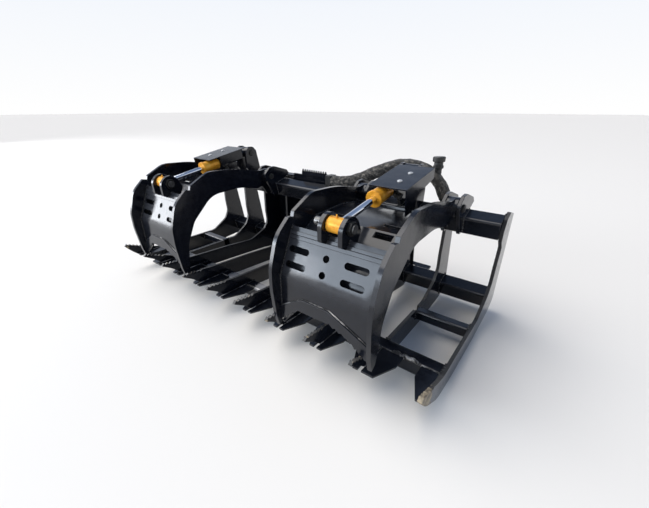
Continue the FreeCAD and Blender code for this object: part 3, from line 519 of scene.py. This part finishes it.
# Painted highlight: pale grey on the upward faces in the middle of each left bay.
painted_highlight = times(tree, slope(tree, facing["Z"], 0.2, 0.6), slope(tree, highlight_in_bay, 0.46, 0.54))
painted_highlight = times(tree, painted_highlight, calculate(tree, "LESS_THAN", spot["X"], 0.1))
tree.links.new(blend_colours(tree, painted_highlight, black_film_with_painted_sky_tint(tree, noise(tree, 55, 6, place)),
                             (0.50, 0.50, 0.51)), shader.inputs["Base Color"])
tree.links.new(times(tree, painted_highlight, 0.35), shader.inputs["Metallic"])
tree.links.new(grey_ramp(tree, noise(tree, 12, 4, place), (0.35, 0.12), (0.7, 0.28)),
               shader.inputs["Roughness"])
orange_peel(tree, shader, place)
finished("front_tube", highlighted_front_paint, 0.010, rolled=True)

# Tines and their wings
# Ten flame cut plates form the basket, each with grip teeth behind its tip, and
# flat wing plates fill the corners between the tines and the front tube.
tine_names = [f"tine_{index + 1}" for index in range(10)]
for name in tine_names:
    finished(name, tine_paint, 0.0012)
finished("wings_left", paint, 0.001)
finished("wings_right", paint, 0.001)

# Quick attach and back plate
# The loader's coupler holds the grapple by the hook along the top of this plate
# and by two lock pins in the lip under it.
for name in ("quick_attach_plate", "quick_attach_hook", "quick_attach_lip", "back_plate"):
    finished(name, paint, 0.001)

# Serrated step
# One sheet bent up along its front and back, with saw teeth cut into the front
# edge for grip; it is welded to the top of the back plate.
step_low, step_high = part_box("serrated_step")
step_sheet = 0.005
step_teeth = 11
tooth_cut = 0.018
rear_drop = 0.024
step_mesh = bmesh.new()


def add_prism(work, first_ring, last_ring):
    """A closed solid between two rings with the same number of points."""
    first = [work.verts.new(spot) for spot in first_ring]
    last = [work.verts.new(spot) for spot in last_ring]
    work.faces.new(first)
    work.faces.new(last[::-1])
    for index in range(len(first)):
        following = (index + 1) % len(first)
        work.faces.new((first[index], last[index], last[following], first[following]))


def add_step_wall(outline, front, rear):
    """A wall of the step between two depths, from an (x, z) outline."""
    add_prism(step_mesh, [(x, front, z) for x, z in outline], [(x, rear, z) for x, z in outline])


def rectangle(top):
    return [(step_low.x, step_low.z), (step_high.x, step_low.z), (step_high.x, top),
            (step_low.x, top)]


tooth_run = (step_high.x - step_low.x) / step_teeth
valley = step_high.z - tooth_cut
teeth = [(step_low.x, step_low.z), (step_high.x, step_low.z)]
for tooth in range(step_teeth, 0, -1):
    end = step_low.x + tooth * tooth_run
    teeth += [(end, valley), (end - 0.40 * tooth_run, step_high.z),
              (end - 0.60 * tooth_run, step_high.z)]
teeth.append((step_low.x, valley))
front_face = step_low.y + step_sheet
rear_face = step_high.y - step_sheet
add_step_wall(teeth, step_low.y, front_face)
add_step_wall(rectangle(step_high.z - rear_drop), rear_face, step_high.y)
add_step_wall(rectangle(step_low.z + step_sheet), front_face, rear_face)
step = made_piece("serrated_step_piece", step_mesh, paint)
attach(step, "frame")
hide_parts("serrated_step")

# Hinge brackets and towers
# Pairs of plates welded to the top tube carry the lid hinges and cylinder feet.
for name in ("hinge_brackets", "cylinder_towers"):
    finished(name, paint, 0.0015)

# Lids and cylinder barrels
# Each lid is two curved side plates with a bent front plate, an arched mouth
# plate, a top plate, a cross strip and two ears for the cylinder's rod.
side_sign = {"left": -1, "right": 1}
lid_parts = ("side_1", "side_2", "front_plate", "mouth_plate", "top_plate", "cross_strip",
             "rod_ears")
for side in side_sign:
    for part in lid_parts:
        finished(f"lid_{side}_{part}", paint, 0.0012)
    finished(f"cylinder_{side}_barrel", paint, 0.0015)
    finished(f"cylinder_{side}_guard", paint, 0.001)

# Stiffening bars
# A flat bar is welded across the top of each lid front, under the rod ears; its
# upper half is thicker, and both halves sink a little into the plate.
bend_top = Vector((0, -0.538, 0.007))
front_fall = Vector((0, -0.069, -0.155)).normalized()
front_out = Vector((0, front_fall.z, -front_fall.y))
lid_middle = 0.5258
lid_inner = 0.40445 / 2 - 0.0085
bar_top, bar_middle, bar_bottom = 0.002, 0.015, 0.030
bar_sunk = -0.002


def bar_ring(x, upper, lower, thick):
    """The corners of a bar's section at one place across the lid."""
    return [edge + bend_top + front_fall * down + front_out * out + Vector((x, 0, 0))
            for down, out in ((upper, bar_sunk), (upper, thick), (lower, thick),
                              (lower, bar_sunk))]


for side, sign in side_sign.items():
    work = bmesh.new()
    for upper, lower, thick in ((bar_top, bar_middle, 0.0055), (bar_middle, bar_bottom, 0.0030)):
        add_prism(work, bar_ring(sign * lid_middle - lid_inner, upper, lower, thick),
                  bar_ring(sign * lid_middle + lid_inner, upper, lower, thick))
    bar = made_piece(f"lid_{side}_stiffening_bar", work, paint)
    ease = bar.modifiers.new("eased_edges", "BEVEL")
    ease.width = 0.0012
    ease.segments = 2
    ease.limit_method = "ANGLE"
    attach(bar, f"lid_{side}")

# Welds
# Beads run along every plate edge that meets another plate, laid by hand in
# short ripples and painted over; on lid mouths and wings bare metal shows here
# and there, and one rough bead lies on the front tube between the last tines.
weld_pitch = 0.0052
weld_touch = 0.0006
weld_size = 0.0042
weld_probe = 0.012
shortest_weld = 0.003


def repeat_tree(name, label_inputs):
    """An empty Geometry Nodes tree with a mesh input and named size inputs."""
    group = bpy.data.node_groups.new(name, "GeometryNodeTree")
    group.interface.new_socket("Geometry", in_out="INPUT", socket_type="NodeSocketGeometry")
    sockets = {}
    for label, kind in label_inputs:
        sockets[label] = group.interface.new_socket(label, in_out="INPUT", socket_type=kind)
    group.interface.new_socket("Geometry", in_out="OUTPUT", socket_type="NodeSocketGeometry")
    return group, sockets, group.nodes.new("NodeGroupInput"), group.nodes.new("NodeGroupOutput")


bead_tree, bead_sockets, entry, result = repeat_tree(
    "weld_ripples", (("Pitch", "NodeSocketFloat"), ("Size", "NodeSocketFloat"),
                     ("Material", "NodeSocketMaterial")))
to_curve = bead_tree.nodes.new("GeometryNodeMeshToCurve")
to_points = bead_tree.nodes.new("GeometryNodeCurveToPoints")
to_points.mode = "LENGTH"
ripple = bead_tree.nodes.new("GeometryNodeMeshIcoSphere")
ripple.inputs["Subdivisions"].default_value = 2
flatten = bead_tree.nodes.new("GeometryNodeTransform")
flatten.inputs["Scale"].default_value = (1.0, 1.0, 0.85)
place_beads = bead_tree.nodes.new("GeometryNodeInstanceOnPoints")
vary = bead_tree.nodes.new("FunctionNodeRandomValue")
vary.data_type = "FLOAT_VECTOR"
vary.inputs[0].default_value = (0.85, 0.85, 0.85)
vary.inputs[1].default_value = (1.12, 1.12, 1.0)
vary.inputs["Seed"].default_value = 4
realize = bead_tree.nodes.new("GeometryNodeRealizeInstances")
smooth = bead_tree.nodes.new("GeometryNodeSetShadeSmooth")
dress = bead_tree.nodes.new("GeometryNodeSetMaterial")
link = bead_tree.links.new
link(entry.outputs["Geometry"], to_curve.inputs[0])
link(to_curve.outputs[0], to_points.inputs["Curve"])
link(entry.outputs["Pitch"], to_points.inputs["Length"])
link(entry.outputs["Size"], ripple.inputs["Radius"])
link(ripple.outputs["Mesh"], flatten.inputs["Geometry"])
link(to_points.outputs["Points"], place_beads.inputs["Points"])
link(to_points.outputs["Rotation"], place_beads.inputs["Rotation"])
link(flatten.outputs["Geometry"], place_beads.inputs["Instance"])
link(vary.outputs[0], place_beads.inputs["Scale"])
link(place_beads.outputs[0], realize.inputs[0])
link(realize.outputs[0], smooth.inputs[0])
link(smooth.outputs[0], dress.inputs["Geometry"])
link(entry.outputs["Material"], dress.inputs["Material"])
link(dress.outputs[0], result.inputs[0])


def grown(name, mesh, group, sockets, values, body):
    """A tree's result over a mesh, made a plain piece that rides on a body."""
    seed = linked_object(name + "_lines", mesh)
    modifier = seed.modifiers.new("repeat", "NODES")
    modifier.node_group = group
    for label, value in values.items():
        modifier[sockets[label].identifier] = value
    bpy.context.view_layer.update()
    depsgraph = bpy.context.evaluated_depsgraph_get()
    made = bpy.data.meshes.new_from_object(seed.evaluated_get(depsgraph))
    bpy.data.objects.remove(seed)
    made.name = name
    piece = linked_object(name, made)
    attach(piece, body)
    return piece


def weld_lines(name, pairs):
    """The edges of the first node of each pair that lie on the second."""
    places = []
    links = []
    for plate, base in pairs:
        corners = welded_meshes[plate][0]
        surface = welded_meshes[base][1]
        for start, end in corners:
            steps = max(int((end - start).length / weld_probe), 1)
            run = None
            for step in range(steps + 1):
                spot = start.lerp(end, step / steps)
                near = surface.find_nearest(spot, weld_touch)
                if near[0] is not None:
                    run = (run[0], spot) if run else (spot, spot)
                if (near[0] is None or step == steps) and run:
                    if (run[1] - run[0]).length > shortest_weld:
                        places += [run[0], run[1]]
                        links.append((len(places) - 2, len(places) - 1))
                    run = None
    mesh = bpy.data.meshes.new(name + "_lines")
    mesh.from_pydata([tuple(spot) for spot in places], links, [])
    work = bmesh.new()
    work.from_mesh(mesh)
    bmesh.ops.remove_doubles(work, verts=work.verts, dist=0.0008)
    work.to_mesh(mesh)
    work.free()
    return mesh


weld_paint, tree, shader = new_material("painted_weld")
speckled(tree, shader, (200, 4), (0.004, 0.012), (90, 4), (0.18, 0.36))
shader.inputs["Specular IOR Level"].default_value = 0.6
bump(tree, shader, noise(tree, 900, 2), 0.0002, 0.5)

bright_weld, tree, shader = new_material("bright_weld")
bare = noise(tree, 22, 5)
tree.links.new(ramp(tree, bare, [(0.47, grey(0.010)), (0.55, (0.26, 0.25, 0.24)),
                                 (0.72, (0.68, 0.66, 0.62))]), shader.inputs["Base Color"])
tree.links.new(grey_ramp(tree, bare, (0.47, 0.0), (0.57, 0.7)), shader.inputs["Metallic"])
shader.inputs["Roughness"].default_value = 0.32
bump(tree, shader, noise(tree, 900, 2), 0.0002, 0.6)

bead_values = {"Pitch": weld_pitch, "Size": weld_size, "Material": weld_paint}
crossings = [(name, tube) for name in tine_names
             for tube in ("top_tube", "heel_tube", "front_tube")]
crossings += [("tine_1", "floor_tube_left"), ("tine_2", "floor_tube_left"),
              ("tine_9", "floor_tube_right"), ("tine_10", "floor_tube_right")]
tube_pairs = [pair for name, tube in crossings for pair in ((name, tube), (tube, name))]
grown("frame_tube_welds", weld_lines("frame_tubes", tube_pairs), bead_tree, bead_sockets,
      bead_values, "frame")
plate_pairs = [("hinge_brackets", "top_tube"), ("cylinder_towers", "top_tube"),
               ("back_plate", "top_tube"), ("quick_attach_plate", "quick_attach_lip"),
               ("quick_attach_plate", "quick_attach_hook")]
plate_pairs += [("quick_attach_plate", name) for name in tine_names[2:8]]
grown("frame_plate_welds", weld_lines("frame_plates", plate_pairs), bead_tree, bead_sockets,
      bead_values, "frame")
wing_pairs = []
for wings, members in (("wings_left", tine_names[:5]), ("wings_right", tine_names[5:])):
    wing_pairs.append((wings, "front_tube"))
    wing_pairs += [(wings, name) for name in members]
grown("wing_welds", weld_lines("wings", wing_pairs), bead_tree, bead_sockets,
      {"Pitch": weld_pitch, "Size": 0.0036, "Material": bright_weld}, "frame")
rough_run = [(0.730, -0.444, -0.404), (0.744, -0.438, -0.403), (0.758, -0.445, -0.405),
             (0.772, -0.437, -0.403), (0.786, -0.444, -0.404), (0.802, -0.439, -0.403),
             (0.818, -0.445, -0.404)]
rough_line = bpy.data.meshes.new("rough_run")
rough_line.from_pydata([tuple(edge + Vector(spot)) for spot in rough_run],
                       [(index, index + 1) for index in range(len(rough_run) - 1)], [])
grown("rough_weld", rough_line, bead_tree, bead_sockets,
      {"Pitch": 0.006, "Size": 0.0072, "Material": bright_weld}, "frame")
for side in side_sign:
    lid = f"lid_{side}_"
    pairs = []
    for plate in ("front_plate", "top_plate", "cross_strip"):
        pairs += [(lid + plate, lid + "side_1"), (lid + plate, lid + "side_2")]
    pairs += [(lid + "rod_ears", lid + "front_plate"), (lid + "top_plate", lid + "front_plate")]
    grown(lid + "welds", weld_lines(lid, pairs), bead_tree, bead_sockets, bead_values,
          f"lid_{side}")
    mouth = [(lid + "mouth_plate", lid + "front_plate")]
    grown(lid + "mouth_welds", weld_lines(lid + "mouth", mouth), bead_tree, bead_sockets,
          {"Pitch": weld_pitch, "Size": 0.0038, "Material": bright_weld},
          f"lid_{side}")

# Yellow plated eyes and glands
# The rod eye and the screwed gland are turned steel, zinc plated and passivated
# to a golden yellow with a slight rainbow.
plating, tree, shader = new_material("yellow_zinc_plating")
blush = ramp(tree, noise(tree, 30, 3), [(0.3, (0.62, 0.25, 0.012)), (0.55, (0.84, 0.38, 0.025)),
                                        (0.75, (0.90, 0.50, 0.07))])
tree.links.new(blush, shader.inputs["Base Color"])
shader.inputs["Metallic"].default_value = 0.30
tree.links.new(grey_ramp(tree, noise(tree, 120, 4), (0.3, 0.30), (0.7, 0.48)),
               shader.inputs["Roughness"])
bump(tree, shader, noise(tree, 700, 2), 0.0001, 0.3)
for side in side_sign:
    finished(f"cylinder_{side}_rod_eye", plating, 0.0015)
    finished(f"cylinder_{side}_gland", plating, 0.0015)

# Chrome rods
# Ground and hard chromed bar, polished along its length.
chrome, tree, shader = new_material("hard_chrome")
shader.inputs["Base Color"].default_value = (0.83, 0.85, 0.90, 1)
shader.inputs["Metallic"].default_value = 1.0
tree.links.new(grey_ramp(tree, noise(tree, 50, 5), (0.3, 0.05), (0.8, 0.12)),
               shader.inputs["Roughness"])
bump(tree, shader, noise(tree, 1500, 1), 0.00002, 0.3)
for side in side_sign:
    finished(f"cylinder_{side}_rod", chrome, 0)

# Pins and nuts
# Turned pins in zinc plated steel; the rod pins carry a blacked nut each.
zinc, tree, shader = new_material("zinc_plated_steel")
tree.links.new(grey_ramp(tree, noise(tree, 90, 5), (0.3, 0.10), (0.75, 0.24)),
               shader.inputs["Base Color"])
shader.inputs["Metallic"].default_value = 0.9
tree.links.new(grey_ramp(tree, noise(tree, 200, 4), (0.3, 0.34), (0.8, 0.55)),
               shader.inputs["Roughness"])
bump(tree, shader, noise(tree, 900, 2), 0.0001, 0.4)
fresh_zinc, tree, shader = new_material("fresh_zinc_bolts")
tree.links.new(grey_ramp(tree, noise(tree, 90, 5), (0.3, 0.55), (0.75, 0.80)),
               shader.inputs["Base Color"])
shader.inputs["Metallic"].default_value = 0.6
shader.inputs["Roughness"].default_value = 0.45
blacked, tree, shader = new_material("blacked_steel")
tree.links.new(grey_ramp(tree, noise(tree, 120, 5), (0.3, 0.010), (0.75, 0.030)),
               shader.inputs["Base Color"])
shader.inputs["Metallic"].default_value = 0.5
tree.links.new(grey_ramp(tree, noise(tree, 150, 4), (0.3, 0.30), (0.8, 0.50)),
               shader.inputs["Roughness"])
bump(tree, shader, noise(tree, 600, 2), 0.0001, 0.4)
finished("hinge_pins", blacked, 0.0015)
finished("base_pins", blacked, 0.0015)
for side in side_sign:
    finished(f"lid_{side}_rod_pin", zinc, 0.002)
    finished(f"lid_{side}_rod_pin_nut", blacked, 0.0015)
for name in ("hose_coupler", "hose_bulkhead"):
    finished(name, blacked, 0.003)

# Bolts and grease nipples
# Zinc plated button bolts hold each cylinder guard to its saddle, black caps
# close the hinge pins, and a grease nipple stands on each cylinder eye.
rod_pin = Vector((0, -0.532, 0.060))
base_pin = Vector((0, 0.0, 0.152))
cylinder_line = (base_pin - rod_pin).normalized()
cylinder_up = Vector((0, -cylinder_line.z, cylinder_line.y))


def on_cylinder(sign, distance, rise, outward):
    """A place beside a cylinder, from its rod pin, over its axis and outward."""
    return (edge + rod_pin + cylinder_line * distance + cylinder_up * rise
            + Vector((sign * (lid_middle + outward), 0, 0)))


bolt_tree, bolt_sockets, entry, result = repeat_tree(
    "button_bolts", (("Radius", "NodeSocketFloat"), ("Height", "NodeSocketFloat"),
                     ("Sides", "NodeSocketInt"), ("Tilt", "NodeSocketRotation"),
                     ("Material", "NodeSocketMaterial")))
head = bolt_tree.nodes.new("GeometryNodeMeshCylinder")
washer = bolt_tree.nodes.new("GeometryNodeMeshCylinder")
washer.inputs["Vertices"].default_value = 24
wider = bolt_tree.nodes.new("ShaderNodeMath")
wider.operation = "MULTIPLY"
wider.inputs[1].default_value = 1.45
thinner = bolt_tree.nodes.new("ShaderNodeMath")
thinner.operation = "MULTIPLY"
thinner.inputs[1].default_value = 0.6
join = bolt_tree.nodes.new("GeometryNodeJoinGeometry")
place_bolts = bolt_tree.nodes.new("GeometryNodeInstanceOnPoints")
realize = bolt_tree.nodes.new("GeometryNodeRealizeInstances")
dress = bolt_tree.nodes.new("GeometryNodeSetMaterial")
link = bolt_tree.links.new
link(entry.outputs["Radius"], head.inputs["Radius"])
link(entry.outputs["Height"], head.inputs["Depth"])
link(entry.outputs["Sides"], head.inputs["Vertices"])
link(entry.outputs["Radius"], wider.inputs[0])
link(entry.outputs["Height"], thinner.inputs[0])
link(wider.outputs[0], washer.inputs["Radius"])
link(thinner.outputs[0], washer.inputs["Depth"])
link(head.outputs["Mesh"], join.inputs[0])
link(washer.outputs["Mesh"], join.inputs[0])
link(entry.outputs["Geometry"], place_bolts.inputs["Points"])
link(join.outputs[0], place_bolts.inputs["Instance"])
link(entry.outputs["Tilt"], place_bolts.inputs["Rotation"])
link(place_bolts.outputs[0], realize.inputs[0])
link(realize.outputs[0], dress.inputs["Geometry"])
link(entry.outputs["Material"], dress.inputs["Material"])
link(dress.outputs[0], result.inputs[0])


def studs(name, spots, radius, height, sides, aim, material, body):
    """Bolt heads with washers on a few spots, all pointing the same way."""
    mesh = bpy.data.meshes.new(name)
    mesh.from_pydata([tuple(spot) for spot in spots], [], [])
    tilt = Vector(aim).to_track_quat("Z", "Y").to_euler()
    return grown(name, mesh, bolt_tree, bolt_sockets,
                 {"Radius": radius, "Height": height, "Sides": sides, "Tilt": tuple(tilt),
                  "Material": material}, body)


hinge_pin = Vector((0, -0.035, 0.045))
side_plate_offset = 0.20225
bracket_face = 0.0425
guard_start = 0.257
port_profile = [(0.0, 0.011), (0.010, 0.011), (0.010, 0.0145), (0.020, 0.0145),
                (0.020, 0.0105), (0.026, 0.0105), (0.026, 0.0135), (0.036, 0.0135)]
nipple_profile = [(0.0, 0.0045), (0.003, 0.0045), (0.003, 0.0028), (0.007, 0.0022),
                  (0.008, 0.0032), (0.010, 0.0032), (0.011, 0.0018)]
for side, sign in side_sign.items():
    spots = [on_cylinder(sign, guard_start + reach, 0.0395, 0.049) for reach in (0.070, 0.160)]
    studs(f"guard_bolts_{side}", spots, 0.0065, 0.006, 20, cylinder_up, fresh_zinc,
          f"barrel_{side}")
    spots = [edge + hinge_pin + Vector((sign * lid_middle + offset + face, 0, 0))
             for offset in (-side_plate_offset, side_plate_offset)
             for face in (-bracket_face, bracket_face)]
    studs(f"hinge_caps_{side}", spots, 0.010, 0.007, 6, (1, 0, 0), rubber, "frame")
    turned(f"port_fitting_{side}", on_cylinder(sign, 0.340, -0.016, 0.018), (sign, 0, -0.25),
           port_profile, 6, zinc, f"barrel_{side}")
    turned(f"eye_nipple_{side}", on_cylinder(sign, 0, 0.0265, 0), cylinder_up,
           nipple_profile, 16, plating, f"rod_{side}")

# Floor and light
# A plain pale floor under a white horizon and a bluer upper sky. Two wide lamps
# low in front put the shine on the lids, and a broad high sun lights the top faces.
floor_material, tree, shader = new_material("pale_floor")
shader.inputs["Base Color"].default_value = (0.84, 0.815, 0.77, 1)
shader.inputs["Roughness"].default_value = 0.95
shader.inputs["Specular IOR Level"].default_value = 0.1
floor_mesh = bpy.data.meshes.new("floor")
far = 60
floor_mesh.from_pydata([(-far, -far, 0), (far, -far, 0), (far, far, 0), (-far, far, 0)], [],
                       [(0, 1, 2, 3)])
floor_mesh.materials.append(floor_material)
floor_object = linked_object("floor", floor_mesh)

world = bpy.data.worlds.new("soft_sky")
bpy.context.scene.world = world
world.use_nodes = True
tree = world.node_tree
tree.nodes.clear()
output = tree.nodes.new("ShaderNodeOutputWorld")
sky = tree.nodes.new("ShaderNodeBackground")
height = separate(tree, coordinates(tree, "Generated"))["Z"]
tree.links.new(ramp(tree, height, [(0.0, (1.0, 1.0, 1.0)), (0.22, (0.90, 0.93, 0.98)),
                                   (0.50, (0.26, 0.34, 0.50)), (1.0, (0.10, 0.15, 0.26))]),
               sky.inputs["Color"])
tree.links.new(sky.outputs[0], output.inputs[0])


def soft_lamp(name, place, target, size_x, size_y, power, colour):
    """A wide lamp that shines on a target and isn't seen itself."""
    data = bpy.data.lights.new(name, "AREA")
    data.shape = "RECTANGLE"
    data.size = size_x
    data.size_y = size_y
    data.energy = power
    data.color = colour
    lamp = linked_object(name, data)
    lamp.location = place
    lamp.rotation_euler = (Vector(target) - lamp.location).to_track_quat("-Z", "Y").to_euler()
    lamp.visible_camera = False


soft_lamp("front_lamp", (-4.35, -7.9, 2.7), (0.4, -0.4, 0.45), 5.5, 2.5, 250, (0.74, 0.86, 1.0))
soft_lamp("side_lamp", (-8.75, -4.9, 1.7), (-0.5, -0.4, 0.45), 10.5, 2.5, 800, (0.92, 0.95, 1.0))
sun_data = bpy.data.lights.new("high_sun", "SUN")
sun_data.energy = 2.7
sun_data.angle = math.radians(60)
sun_data.color = (1.0, 0.95, 0.88)
sun = linked_object("high_sun", sun_data)
sun.rotation_euler = Vector((0.50, 0.20, -0.84)).to_track_quat("-Z", "Y").to_euler()

bpy.context.scene.view_settings.view_transform = "Standard"
